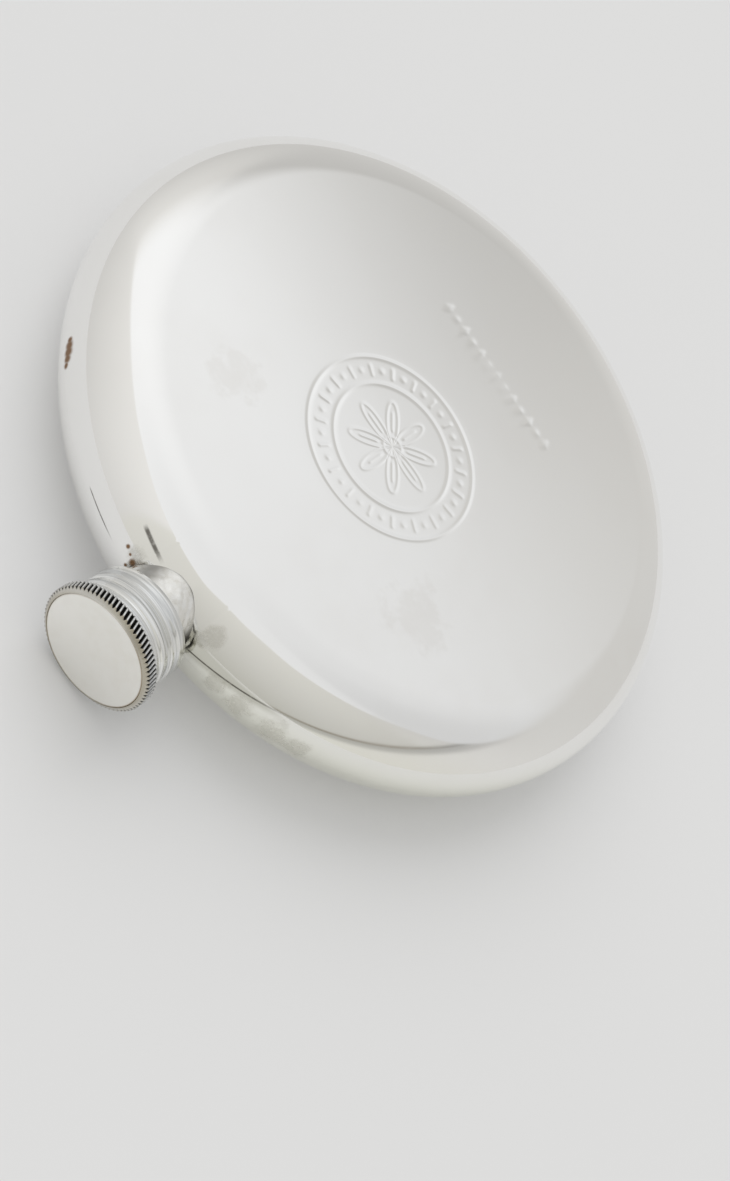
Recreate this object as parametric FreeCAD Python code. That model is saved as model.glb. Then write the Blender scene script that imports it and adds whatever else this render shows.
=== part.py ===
import FreeCAD, Part
import math
import os

# Round hip flask lying on its back.  Millimetres, +Z up.
# The origin is the centre of the flat back, and the neck points along -Y.

# Body
body_radius = 52.5
body_thickness = 18.0
wall = 1.2
edge_width = 10.5        # the edge is a quarter ellipse from the widest line, this far in, up to the flat face
seam_width = 2.4         # solder along the inside of the joint
seam_height = 0.45

# Rings engraved in the front face
emblem_offset = 7.5      # from the middle of the face towards the neck
emblem_radii = (14.3, 10.0)
engraving_width = 0.5
engraving_depth = 0.2

# Neck, measured outwards from the middle of the body
neck_bore_radius = 4.3
collar_radius = 5.95
neck_inner_end = 46.5
collar_end = 53.7
neck_mouth = 60.8
mouth_chamfer = 0.35
fillet_radius = 7.0      # solder round the root of the neck
fillet_start = 51.6
fillet_end = 53.6

# Screw thread, right-handed
pitch = 2.0
thread_core_radius = 5.35
thread_crest_radius = 5.9
thread_clearance = 0.1
flank_clearance = 0.12
ridge_crest_width = 0.5
ridge_root_width = 1.0
thread_start = 54.4
thread_end = 60.2
thread_overlap = 0.12    # how far a ridge is sunk into the wall that carries it

# Cap
skirt_radius = 7.95
skirt_rear = 54.5
skirt_groove_depth = 0.35
skirt_groove_width = 0.8
skirt_grooves = (56.3, 58.3, 60.7)
cap_bore_radius = 6.9
cap_roof = 61.7
knurl_radius = 8.9
knurl_depth = 0.4
knurl_count = 80
knurl_start = 61.2
knurl_end = 62.5
cap_front = 63.0
rim_width = 0.35         # flat edge round the top disc
disc_radius = 7.8
disc_thickness = 0.45
sleeve_rear = 55.1
sleeve_front = 60.7
seal_radius = 6.6
seal_rear = 60.85
seal_thickness = 0.8

# Worked out from the above
half = body_thickness / 2
thin_gap = 0.02          # between pieces that are pushed or soldered together
face_radius = body_radius - edge_width


def arc_edge(centre, radius, start, end):
    """Arc in the XZ plane about (x, z), from one angle above level to another, in radians."""
    def at(angle):
        return FreeCAD.Vector(centre[0] + radius * math.cos(angle), 0, centre[1] + radius * math.sin(angle))
    return Part.Arc(at(start), at((start + end) / 2), at(end)).toShape()


def line_edge(start, end):
    return Part.LineSegment(start, end).toShape()


def half_outline(inset):
    """Edges of one half of the body's section, from the widest line up to the axis."""
    widest = FreeCAD.Vector(body_radius - inset, 0, 0)
    highest = FreeCAD.Vector(face_radius, 0, half - inset)
    ellipse = Part.Ellipse(widest, highest, FreeCAD.Vector(face_radius, 0, 0))
    edge = Part.ArcOfEllipse(ellipse, 0, math.pi / 2).toShape()
    face = line_edge(highest, FreeCAD.Vector(0, 0, half - inset))
    return [edge, face]


def spin(edges):
    """Solid made by turning a closed outline in the XZ plane about Z."""
    wire = Part.Wire(Part.__sortEdges__(edges))
    return Part.Face(wire).revolve(FreeCAD.Vector(0, 0, 0), FreeCAD.Vector(0, 0, 1), 360)


def spin_points(points):
    """The same, for an outline of straight lines given as (radius, height)."""
    corners = [FreeCAD.Vector(radius, 0, height) for radius, height in points]
    return spin([line_edge(a, b) for a, b in zip(corners, corners[1:] + corners[:1])])


def to_neck(shape):
    """Turn a shape built along +Z so that it runs out along the neck."""
    turned = shape.copy()
    turned.rotate(FreeCAD.Vector(0, 0, 0), FreeCAD.Vector(1, 0, 0), 90)
    turned.translate(FreeCAD.Vector(0, 0, half))
    return turned


def tube(outer, inner, start, end):
    return spin_points([(inner, start), (outer, start), (outer, end), (inner, end)])


def half_block(inset):
    """Solid upper half of the body, its faces moved in by inset."""
    centre = FreeCAD.Vector(0, 0, 0)
    top = FreeCAD.Vector(0, 0, half - inset)
    widest = FreeCAD.Vector(body_radius - inset, 0, 0)
    return spin(half_outline(inset) + [line_edge(top, centre), line_edge(centre, widest)])


def half_shell():
    """Pressed half, open towards -Z, with half of the hole for the neck."""
    neck_hole = Part.makeCylinder(collar_radius + thin_gap, body_radius, FreeCAD.Vector(0, 0, 0),
                                  FreeCAD.Vector(0, -1, 0))
    return half_block(0).cut(half_block(wall)).cut(neck_hole)


def front_shell():
    shell = half_shell()
    for radius in emblem_radii:
        line = tube(radius + engraving_width / 2, radius - engraving_width / 2, half - engraving_depth, half + 1)
        line.translate(FreeCAD.Vector(0, -emblem_offset, 0))
        shell = shell.cut(line)
    shell.translate(FreeCAD.Vector(0, 0, half))
    return shell


def back_shell():
    shell = half_shell()
    shell.rotate(FreeCAD.Vector(0, 0, 0), FreeCAD.Vector(0, 1, 0), 180)
    shell.translate(FreeCAD.Vector(0, 0, half))
    return shell


def seam_solder():
    outer = body_radius - wall - thin_gap
    foot = (edge_width - wall) * (1 - math.sqrt(1 - (seam_width / 2 / (half - wall)) ** 2))
    ring = spin_points([
        (outer - foot, -seam_width / 2),
        (outer, 0),
        (outer - foot, seam_width / 2),
        (outer - foot - seam_height, 0),
    ])
    gap = Part.makeCylinder(collar_radius + 2 * thin_gap, body_radius, FreeCAD.Vector(0, 0, 0),
                            FreeCAD.Vector(0, -1, 0))
    ring = ring.cut(gap)
    ring.translate(FreeCAD.Vector(0, 0, half))
    return ring


def helical_ridge(base_radius, tip_radius, base_width, tip_width, ends, through):
    """Thread ridge about Z, trimmed flat at both ends; it crosses the +X side at the height `through`."""
    start, end = ends
    turns_below = math.ceil((through - start) / pitch) + 1
    bottom = through - turns_below * pitch
    helix = Part.makeHelix(pitch, end - bottom + pitch, base_radius)
    helix.translate(FreeCAD.Vector(0, 0, bottom))
    corners = [
        FreeCAD.Vector(base_radius, 0, bottom - base_width / 2),
        FreeCAD.Vector(tip_radius, 0, bottom - tip_width / 2),
        FreeCAD.Vector(tip_radius, 0, bottom + tip_width / 2),
        FreeCAD.Vector(base_radius, 0, bottom + base_width / 2),
    ]
    section = Part.makePolygon(corners + corners[:1])
    ridge = Part.Wire(helix).makePipeShell([section], True, True)
    low = min(base_radius, tip_radius) - 1
    high = max(base_radius, tip_radius) + 1
    return ridge.common(tube(high, low, start, end))


def ridge_width(radius):
    """Width of the neck's thread ridge at this radius."""
    slope = (ridge_root_width - ridge_crest_width) / (thread_crest_radius - thread_core_radius)
    return ridge_crest_width + slope * (thread_crest_radius - radius)


def neck():
    core = spin_points([
        (neck_bore_radius, neck_inner_end),
        (collar_radius, neck_inner_end),
        (collar_radius, collar_end),
        (thread_core_radius, collar_end),
        (thread_core_radius, neck_mouth - mouth_chamfer),
        (thread_core_radius - mouth_chamfer, neck_mouth),
        (neck_bore_radius + mouth_chamfer, neck_mouth),
        (neck_bore_radius, neck_mouth - mouth_chamfer),
    ])
    base = thread_core_radius - thread_overlap
    ridge = helical_ridge(base, thread_crest_radius, ridge_width(base), ridge_crest_width,
                          (thread_start, thread_end), thread_start)
    return to_neck(core.fuse(ridge))


def neck_solder():
    """Solder fillet round the collar: hollow, running off smoothly along the collar, shaped to the body."""
    inner = collar_radius + thin_gap
    reach = fillet_radius - inner
    rise = fillet_end - fillet_start
    hollow_radius = (reach ** 2 + rise ** 2) / (2 * reach)
    hollow_centre = (inner + hollow_radius, fillet_end)
    sweep = math.asin(rise / hollow_radius)
    hollow = arc_edge(hollow_centre, hollow_radius, math.pi, math.pi + sweep)
    root = FreeCAD.Vector(inner, 0, neck_inner_end)
    foot = FreeCAD.Vector(fillet_radius, 0, neck_inner_end)
    spread = FreeCAD.Vector(fillet_radius, 0, fillet_start)
    top = FreeCAD.Vector(inner, 0, fillet_end)
    ring = to_neck(spin([line_edge(root, foot), line_edge(foot, spread), hollow, line_edge(top, root)]))
    upper = half_block(0)
    lower = upper.copy()
    lower.rotate(FreeCAD.Vector(0, 0, 0), FreeCAD.Vector(0, 1, 0), 180)
    for block in (upper, lower):
        block.translate(FreeCAD.Vector(0, 0, half))
        ring = ring.cut(block)
    return ring


def knurled_band(root):
    """Toothed ring, with one tip and one root for each tooth."""
    corners = []
    for index in range(2 * knurl_count):
        radius = knurl_radius if index % 2 == 0 else root
        angle = math.pi * index / knurl_count
        corners.append(FreeCAD.Vector(radius * math.cos(angle), radius * math.sin(angle), knurl_start))
    band = Part.Face(Part.makePolygon(corners + corners[:1])).extrude(
        FreeCAD.Vector(0, 0, knurl_end - knurl_start))
    return band.cut(Part.makeCylinder(skirt_radius, cap_front))


def cap_shell():
    band_root = knurl_radius - knurl_depth
    recess = disc_radius + thin_gap
    outline = [
        (0, cap_roof),
        (cap_bore_radius, cap_roof),
        (cap_bore_radius, skirt_rear),
        (skirt_radius, skirt_rear),
    ]
    for middle in skirt_grooves:
        outline += [
            (skirt_radius, middle - skirt_groove_width / 2),
            (skirt_radius - skirt_groove_depth, middle),
            (skirt_radius, middle + skirt_groove_width / 2),
        ]
    outline += [
        (skirt_radius, knurl_start),
        (band_root, knurl_start),
        (band_root, knurl_end),
        (recess + rim_width, cap_front),
        (recess, cap_front),
        (recess, cap_front - disc_thickness),
        (0, cap_front - disc_thickness),
    ]
    return to_neck(spin_points(outline).fuse(knurled_band(band_root)).removeSplitter())


def cap_top_disc():
    return to_neck(Part.makeCylinder(disc_radius, disc_thickness, FreeCAD.Vector(0, 0, cap_front - disc_thickness)))


def cap_thread_sleeve():
    """Threaded lining: its ridge fills the space between the turns of the neck's ridge."""
    root_radius = thread_crest_radius + thread_clearance
    crest_radius = thread_core_radius + thread_clearance

    def width(radius):
        return pitch - ridge_width(radius) - 2 * flank_clearance

    base = root_radius + thread_overlap
    lining = tube(cap_bore_radius - thin_gap, root_radius, sleeve_rear, sleeve_front)
    ridge = helical_ridge(base, crest_radius, width(base), width(crest_radius),
                          (sleeve_rear, sleeve_front), thread_start + pitch / 2)
    return to_neck(lining.fuse(ridge))


def cap_seal():
    return to_neck(Part.makeCylinder(seal_radius, seal_thickness, FreeCAD.Vector(0, 0, seal_rear)))


pieces = {
    "front_shell": front_shell(),
    "back_shell": back_shell(),
    "seam_solder": seam_solder(),
    "neck": neck(),
    "neck_solder": neck_solder(),
    "cap_shell": cap_shell(),
    "cap_top_disc": cap_top_disc(),
    "cap_thread_sleeve": cap_thread_sleeve(),
    "cap_seal": cap_seal(),
}
os.makedirs("parts", exist_ok=True)
for name, shape in pieces.items():
    shape.exportStep("parts/" + name + ".step")
    print(name, "valid", shape.isValid(), "mm3", round(shape.Volume, 1))
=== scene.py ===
import math

import bpy
import numpy as np
from mathutils import Matrix, Vector


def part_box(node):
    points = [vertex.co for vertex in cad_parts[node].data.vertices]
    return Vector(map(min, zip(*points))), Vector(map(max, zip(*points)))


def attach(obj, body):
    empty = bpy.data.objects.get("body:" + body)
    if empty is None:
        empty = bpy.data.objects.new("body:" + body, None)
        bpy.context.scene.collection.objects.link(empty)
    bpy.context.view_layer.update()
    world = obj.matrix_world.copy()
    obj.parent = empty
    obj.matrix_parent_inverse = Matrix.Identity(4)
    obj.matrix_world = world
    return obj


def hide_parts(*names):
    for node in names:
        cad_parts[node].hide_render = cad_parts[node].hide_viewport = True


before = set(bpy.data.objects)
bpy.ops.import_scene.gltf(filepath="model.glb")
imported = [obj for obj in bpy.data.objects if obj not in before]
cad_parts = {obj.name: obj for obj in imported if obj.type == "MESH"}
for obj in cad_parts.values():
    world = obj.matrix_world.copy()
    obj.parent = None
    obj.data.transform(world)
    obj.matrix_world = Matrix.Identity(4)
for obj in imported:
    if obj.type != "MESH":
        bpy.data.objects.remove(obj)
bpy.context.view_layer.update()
mm = 0.001  # the numbers below are millimetres; the meshes are metres


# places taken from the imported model

def boxInMm(node):
    low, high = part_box(node)
    return np.array(low) / mm, np.array(high) / mm


shellLow, shellHigh = boxInMm("front_shell")
capLow, capHigh = boxInMm("cap_shell")
discHigh = boxInMm("cap_top_disc")[1]
neckLow, neckHigh = boxInMm("neck")
bodyRadius = shellHigh[0]
halfThickness = shellHigh[2] - shellLow[2]
axisHeight = shellLow[2]  # the neck's axis and the joint between the two halves
capFront = -capLow[1]
capRear = -capHigh[1]
discRadius = discHigh[0] + 0.2  # the front disc turned a little wider than its seat
discRear = -discHigh[1]
neckMouth = -neckLow[1]
neckInnerEnd = -neckHigh[1]


# helpers for shapes

def blend(value, low, high):
    # smoothstep: 0 at low, 1 at high, t*t*(3 - 2t) between them
    t = np.clip((value - low) / (high - low), 0, 1)
    return t * t * (3 - 2 * t)


def spread(stops):
    # stops are (place, step that follows it); the places between two stops are evenly spaced
    runs = []
    for (start, step), (end, _) in zip(stops, stops[1:]):
        count = max(1, int(round(abs(end - start) / step)))
        runs.append(np.linspace(start, end, count, endpoint=False))
    return np.append(np.concatenate(runs), stops[-1][0])


def turnAway(angle, middle):
    # how far an angle lies from a middle, wrapped to within half a turn
    return np.angle(np.exp(1j * (angle - middle)))


def gridPiece(name, points, material, poles=(False, False), loop=False, marks=None):
    # points is (rows, columns, 3) in mm, closed round the columns; poles says which end rows are one point,
    # loop joins the last row to the first, and marks holds one number per point for each attribute
    rows, columns = points.shape[:2]
    index = np.arange(rows * columns).reshape(rows, columns)
    first, last = 0, rows
    faces = []
    if poles[0]:
        first = 1
        ring = index[1]
        faces.append(np.stack([np.full(columns, index[0, 0]), np.roll(ring, -1), ring], -1))
    if poles[1]:
        last = rows - 1
        ring = index[rows - 2]
        faces.append(np.stack([ring, np.roll(ring, -1), np.full(columns, index[-1, 0])], -1))
    below = index[first:last]
    above = np.roll(below, -1, axis=0) if loop else below[1:]
    below = below if loop else below[:-1]
    quads = np.stack([below, np.roll(below, -1, axis=1), np.roll(above, -1, axis=1), above], -1).reshape(-1, 4)
    flat = points.reshape(-1, 3)
    used = np.unique(np.concatenate([quads.ravel()] + [f.ravel() for f in faces]))
    renumber = np.zeros(len(flat), int)
    renumber[used] = np.arange(len(used))
    flat = flat[used]
    quads = renumber[quads]
    faces = [renumber[f] for f in faces]
    # the signed volume, one sixth of the sum of a . (b x c), tells whether the faces point outwards
    triangles = np.concatenate([quads[:, [0, 1, 2]], quads[:, [0, 2, 3]]] + faces)
    a, b, c = flat[triangles[:, 0]], flat[triangles[:, 1]], flat[triangles[:, 2]]
    if np.einsum("ij,ij->", a, np.cross(b, c)) < 0:
        quads = quads[:, ::-1]
        faces = [f[:, ::-1] for f in faces]
    mesh = bpy.data.meshes.new(name)
    corners = np.concatenate([quads.ravel()] + [f.ravel() for f in faces])
    sizes = np.concatenate([np.full(len(quads), 4)] + [np.full(len(f), 3) for f in faces])
    mesh.vertices.add(len(flat))
    mesh.vertices.foreach_set("co", (flat * mm).ravel())
    mesh.loops.add(len(corners))
    mesh.loops.foreach_set("vertex_index", corners)
    mesh.polygons.add(len(sizes))
    mesh.polygons.foreach_set("loop_start", np.concatenate([[0], np.cumsum(sizes)[:-1]]))
    mesh.polygons.foreach_set("use_smooth", np.ones(len(sizes), bool))
    mesh.update(calc_edges=True)
    for label, values in (marks or {}).items():
        attribute = mesh.attributes.new(label, "FLOAT", "POINT")
        attribute.data.foreach_set("value", values.reshape(-1)[used].astype(np.float32))
    mesh.validate()
    mesh.materials.append(material)
    piece = bpy.data.objects.new(name, mesh)
    bpy.context.scene.collection.objects.link(piece)
    return piece


def aroundNeck(along, radius, angle):
    # a surface of turning about the neck's axis: (r cos a, -along, axis + r sin a)
    return np.stack([radius * np.cos(angle), -along + 0 * angle, axisHeight + radius * np.sin(angle)], -1)


# helpers for nodes

def put(tree, socket, value):
    # links a socket to another one, or sets its constant
    if isinstance(value, bpy.types.NodeSocket):
        tree.links.new(value, socket)
    else:
        socket.default_value = value


def node(tree, kind, inputs=None, **settings):
    made = tree.nodes.new(kind)
    for key, value in settings.items():
        setattr(made, key, value)
    for key, value in (inputs or {}).items():
        put(tree, made.inputs[key], value)
    return made


def calc(tree, operation, *values):
    made = node(tree, "ShaderNodeMath", operation=operation)
    for socket, value in zip(made.inputs, values):
        put(tree, socket, value)
    return made.outputs[0]


def between(tree, share, first, second):
    # first + share * (second - first)
    return calc(tree, "ADD", first, calc(tree, "MULTIPLY", share, calc(tree, "SUBTRACT", second, first)))


def ramp(tree, value, low, high, start, end):
    # smoothstep from start at low to end at high
    made = node(tree, "ShaderNodeMapRange", interpolation_type="SMOOTHSTEP")
    for socket, given in zip(made.inputs, (value, low, high, start, end)):
        put(tree, socket, given)
    return made.outputs[0]


def mix(tree, factor, first, second):
    made = node(tree, "ShaderNodeMix", data_type="RGBA")
    put(tree, made.inputs[0], factor)
    put(tree, made.inputs[6], first)
    put(tree, made.inputs[7], second)
    return made.outputs[2]


def noise(tree, vector, scale, detail=2.0, roughness=0.5):
    made = node(tree, "ShaderNodeTexNoise",
                {"Vector": vector, "Scale": scale, "Detail": detail, "Roughness": roughness})
    return made.outputs[0]


def newGroup(name, inputs, outputs):
    # inputs are (name, first value); outputs are names; all are plain numbers
    tree = bpy.data.node_groups.new(name, "ShaderNodeTree")
    for label, value in inputs:
        socket = tree.interface.new_socket(label, in_out="INPUT", socket_type="NodeSocketFloat")
        socket.default_value = value
    for label in outputs:
        tree.interface.new_socket(label, in_out="OUTPUT", socket_type="NodeSocketFloat")
    return tree, tree.nodes.new("NodeGroupInput"), tree.nodes.new("NodeGroupOutput")


def useGroup(tree, group, **values):
    made = node(tree, "ShaderNodeGroup", node_tree=group)
    for key, value in values.items():
        put(tree, made.inputs[key], value)
    return made


# effects that the metals share

def makeHairlines():
    # thin scratches in three directions: a noise stretched a hundredfold and cut near its top
    tree, given, result = newGroup("hairlines", [("Scale", 1.0), ("Density", 0.5)], ["Lines"])
    place = node(tree, "ShaderNodeTexCoord").outputs["Object"]
    total = None
    for turn, reach in ((0.35, 260.0), (1.25, 330.0), (2.3, 300.0)):
        turned = node(tree, "ShaderNodeMapping", {"Vector": place, "Rotation": (0.2, 0.1, turn)})
        stretched = node(tree, "ShaderNodeMapping",
                         {"Vector": turned.outputs[0], "Scale": (reach * 0.03, reach * 12, reach * 0.2)})
        field = noise(tree, stretched.outputs[0], given.outputs["Scale"], 1.0)
        line = ramp(tree, field, calc(tree, "SUBTRACT", 0.86, calc(tree, "MULTIPLY", given.outputs["Density"], 0.2)),
                    0.9, 0.0, 1.0)
        total = line if total is None else calc(tree, "MAXIMUM", total, line)
    put(tree, result.inputs["Lines"], total)
    return tree


def makeSmudges():
    # soft cloudy handling marks: two sizes of noise multiplied together
    tree, given, result = newGroup("smudges", [("Scale", 40.0)], ["Mask"])
    place = node(tree, "ShaderNodeTexCoord").outputs["Object"]
    large = ramp(tree, noise(tree, place, given.outputs["Scale"], 3.0), 0.35, 0.75, 0.0, 1.0)
    small = ramp(tree, noise(tree, place, calc(tree, "MULTIPLY", given.outputs["Scale"], 5.0), 4.0), 0.3, 0.8, 0.4, 1.0)
    put(tree, result.inputs["Mask"], calc(tree, "MULTIPLY", large, small))
    return tree


def makeUnevenness():
    # the slow waves of hand-polished sheet and a finer ripple, as a height from 0 to 1
    tree, given, result = newGroup("unevenness", [("Wave", 45.0), ("Ripple", 600.0), ("Share", 0.1)], ["Height"])
    place = node(tree, "ShaderNodeTexCoord").outputs["Object"]
    wave = noise(tree, place, given.outputs["Wave"], 1.0)
    ripple = noise(tree, place, given.outputs["Ripple"], 2.0)
    put(tree, result.inputs["Height"],
        calc(tree, "ADD", wave, calc(tree, "MULTIPLY", ripple, given.outputs["Share"])))
    return tree


def makeTurningMarks():
    # streaks that run round the neck's axis: a noise squeezed hard along it
    tree, given, result = newGroup("turningMarks", [("Fineness", 1.0)], ["Streak"])
    place = node(tree, "ShaderNodeTexCoord").outputs["Object"]
    broad = node(tree, "ShaderNodeMapping", {"Vector": place, "Scale": (70, 1500, 70)})
    fine = node(tree, "ShaderNodeMapping", {"Vector": place, "Scale": (160, 6000, 160)})
    first = ramp(tree, noise(tree, broad.outputs[0], given.outputs["Fineness"], 3.0), 0.32, 0.68, 0.0, 1.0)
    second = ramp(tree, noise(tree, fine.outputs[0], given.outputs["Fineness"], 2.0), 0.3, 0.7, 0.0, 1.0)
    put(tree, result.inputs["Streak"], calc(tree, "ADD", calc(tree, "MULTIPLY", first, 0.65),
                                            calc(tree, "MULTIPLY", second, 0.35)))
    return tree


tarnishAndShadePlaces = {
    # degrees round from the neck: start, end; height over the joint at the start in mm, climb per degree, half
    # width.  Only the first line climbs, and the band of painted darker reflection lies above it
    "lines": ((7.0, 25.0, 1.35, 0.145, 0.17), (-19.5, -10.8, 0.95, 0.0, 0.13), (-10.5, -4.4, 5.62, -0.055, 0.30)),
    # centre in mm from the body's middle, and radius
    "spots": ((-8.5, -51.3, 2.8, 0.45), (-7.5, -51.5, 2.5, 0.3), (-6.5, -51.8, 2.2, 0.75), (-6.8, -52.0, 1.0, 0.4),
              # from here on, a chain on the left rim: a painted reflection of a small dark object
              (-35.8, -38.3, 1.4, 0.7), (-35.2, -38.9, 1.3, 1.1), (-34.5, -39.5, 1.1, 1.2), (-33.8, -40.1, 0.9, 1.0),
              (-33.1, -40.7, 0.6, 0.7)),
    # haze: painted shade right behind the cap's skirt and along the rim beside the neck
    "haze": ((7.4, -50.2, 4.7, 1.9), (6.4, -51.0, 3.6, 1.5), (12.5, -50.8, 0.6, 2.6), (16.5, -49.8, 0.3, 3.2),
             (21.5, -47.8, 0.2, 3.4), (25.5, -45.8, 0.2, 2.6), (-7.4, -51.2, 3.0, 2.0)),
    # band of painted darker reflection: degrees round, and height over the joint
    "shadeBand": (6.0, 27.0, 3.65),
    # faint handling marks on the face
    "bloom": ((-19.6, -24.2, 9.0, 5.0), (21.0, -23.0, 9.0, 6.0)),
    # share of a patch's radius that stays solid, and how far noise pushes its edge, in radii
    "core": 0.35, "ragged": {"spots": 0.35, "haze": 2.4, "bloom": 2.4},
    # yellowed sector: heights over the joint where it fades above and below, degrees where it starts and ends
    "yellow": {"top": (0.5, 6.5), "bottom": (-9.0, -6.0), "start": (0.0, 12.0), "end": (60.0, 110.0)},
}


def makeTarnishAndShade():
    # dark thin lines, brown spots, a grey haze of painted shade, a band of painted darker reflection and yellowing on
    # the rim near the neck, and faint marks on the face; lines, spots and clouds are broken up by noise
    tree, given, result = newGroup("tarnishAndShade", [("Grain", 900.0)],
                                   ["Line", "Spot", "ShadeHaze", "ShadeBand", "Bloom", "Yellow"])
    place = node(tree, "ShaderNodeTexCoord").outputs["Object"]
    x, y, z = node(tree, "ShaderNodeSeparateXYZ", {0: place}).outputs
    height = calc(tree, "SUBTRACT", calc(tree, "DIVIDE", z, mm), axisHeight)
    angle = calc(tree, "MULTIPLY", calc(tree, "ARCTAN2", x, calc(tree, "MULTIPLY", y, -1.0)), 180 / math.pi)
    grain = noise(tree, place, given.outputs["Grain"], 4.0, 0.65)
    speckle = noise(tree, place, calc(tree, "MULTIPLY", given.outputs["Grain"], 2.5), 3.0, 0.7)
    line = 0.0
    for start, end, begin, climb, width in tarnishAndShadePlaces["lines"]:
        middle = calc(tree, "ADD", begin, calc(tree, "MULTIPLY", calc(tree, "SUBTRACT", angle, start), climb))
        away = calc(tree, "ABSOLUTE", calc(tree, "SUBTRACT", height, middle))
        stroke = ramp(tree, away, width * 0.35, width, 1.0, 0.0)
        window = calc(tree, "MULTIPLY", ramp(tree, angle, start - 0.6, start + 0.6, 0.0, 1.0),
                      ramp(tree, angle, end - (end - start) * 0.45, end, 1.0, 0.0))
        line = calc(tree, "MAXIMUM", line, calc(tree, "MULTIPLY", stroke, window))
        if climb > 0:
            overLine = calc(tree, "SUBTRACT", height, middle)
    # a band of painted darker reflection above the first line, fading out at the given height
    start, end, top = tarnishAndShadePlaces["shadeBand"]
    shadeBand = calc(tree, "MULTIPLY", calc(tree, "MULTIPLY", ramp(tree, overLine, -1.2, -0.2, 0.0, 1.0),
                                       ramp(tree, height, top - 0.5, top + 0.1, 1.0, 0.0)),
                calc(tree, "MULTIPLY", ramp(tree, angle, start, start + 2, 0.0, 1.0),
                     ramp(tree, angle, end - 8, end, 1.0, 0.0)))
    put(tree, result.inputs["ShadeBand"], shadeBand)
    cloud = noise(tree, place, calc(tree, "MULTIPLY", given.outputs["Grain"], 0.35), 4.0, 0.6)
    for label, socket in (("spots", "Spot"), ("haze", "ShadeHaze"), ("bloom", "Bloom")):
        ragged = calc(tree, "SUBTRACT", grain if label == "spots" else cloud, 0.5)
        total = 0.0
        for across, down, up, radius in tarnishAndShadePlaces[label]:
            centre = (across * mm, down * mm, (up + axisHeight) * mm)
            away = node(tree, "ShaderNodeVectorMath", {0: place, 1: centre}, operation="DISTANCE").outputs[1]
            push = calc(tree, "MULTIPLY", ragged, radius * tarnishAndShadePlaces["ragged"][label] * mm)
            core = radius * tarnishAndShadePlaces["core"] * mm
            patch = ramp(tree, calc(tree, "ADD", away, push), core, radius * mm, 1.0, 0.0)
            total = calc(tree, "MAXIMUM", total, patch)
        # the haze of painted shade is broken by speckle
        if label == "haze":
            total = calc(tree, "MULTIPLY", total, ramp(tree, speckle, 0.25, 0.75, 0.6, 1.0))
        put(tree, result.inputs[socket], total)
    put(tree, result.inputs["Line"], calc(tree, "MULTIPLY", line, ramp(tree, grain, 0.25, 0.5, 0.6, 1.0)))
    yellow = tarnishAndShadePlaces["yellow"]
    band = calc(tree, "MULTIPLY", ramp(tree, height, *yellow["top"], 1.0, 0.0),
                ramp(tree, height, *yellow["bottom"], 0.0, 1.0))
    sector = calc(tree, "MULTIPLY", ramp(tree, angle, *yellow["start"], 0.0, 1.0),
                  ramp(tree, angle, *yellow["end"], 1.0, 0.0))
    put(tree, result.inputs["Yellow"], calc(tree, "MULTIPLY", band, sector))
    return tree


turningMarks = makeTurningMarks()
tarnishAndShade = makeTarnishAndShade()
hairlines = makeHairlines()
smudges = makeSmudges()
unevenness = makeUnevenness()


# each mark's strength and colour, in the order they are laid on; the shade band and the haze are painted shade
tarnishAndShadeLook = (
    ("Yellow", 0.8, (0.90, 0.90, 0.81, 1)), ("ShadeBand", 0.75, (0.56, 0.555, 0.48, 1)),
    ("ShadeHaze", 0.42, (0.46, 0.44, 0.37, 1)), ("Bloom", 0.16, (0.66, 0.62, 0.56, 1)),
    ("Spot", 1.0, (0.25, 0.15, 0.085, 1)), ("Line", 0.85, (0.10, 0.09, 0.075, 1)),
)


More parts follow.
